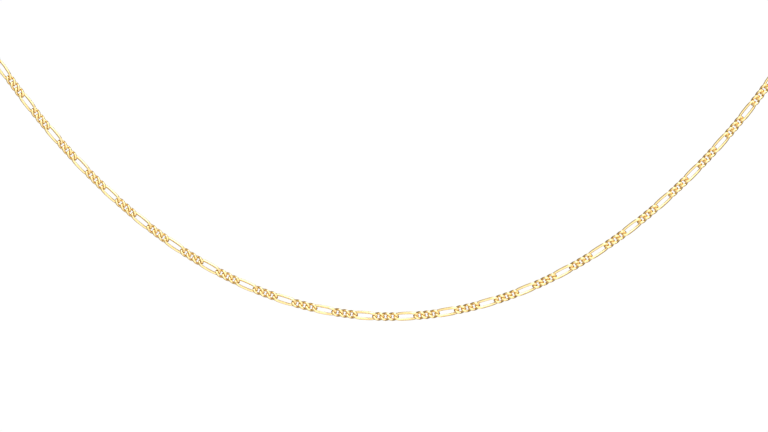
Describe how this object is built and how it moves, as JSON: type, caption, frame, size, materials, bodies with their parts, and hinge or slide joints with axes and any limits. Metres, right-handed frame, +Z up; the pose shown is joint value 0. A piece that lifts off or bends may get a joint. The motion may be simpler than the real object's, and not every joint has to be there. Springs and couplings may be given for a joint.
{
  "type": "figaro chain necklace",
  "caption": "Yellow gold figaro chain necklace of small and long twisted wire links, closed with a plain ring clasp, in the form it takes when hanging round a neck.",
  "frame": {"origin": "middle of the wire's path at the nape, on the clasp's straight stretch", "axes": "+X to the viewer's right across the wearer, +Z up, -Y the front where the festoon hangs"},
  "size_m": [0.1966, 0.1016, 0.0987],
  "materials": {
    "gold_links": "polished",
    "gold_clasp": "polished"
  },
  "bodies": {
    "root": {"chain_left": "gold_links", "chain_right": "gold_links", "clasp": "gold_clasp", "end_ring": "gold_clasp"}
  },
  "joints": []
}
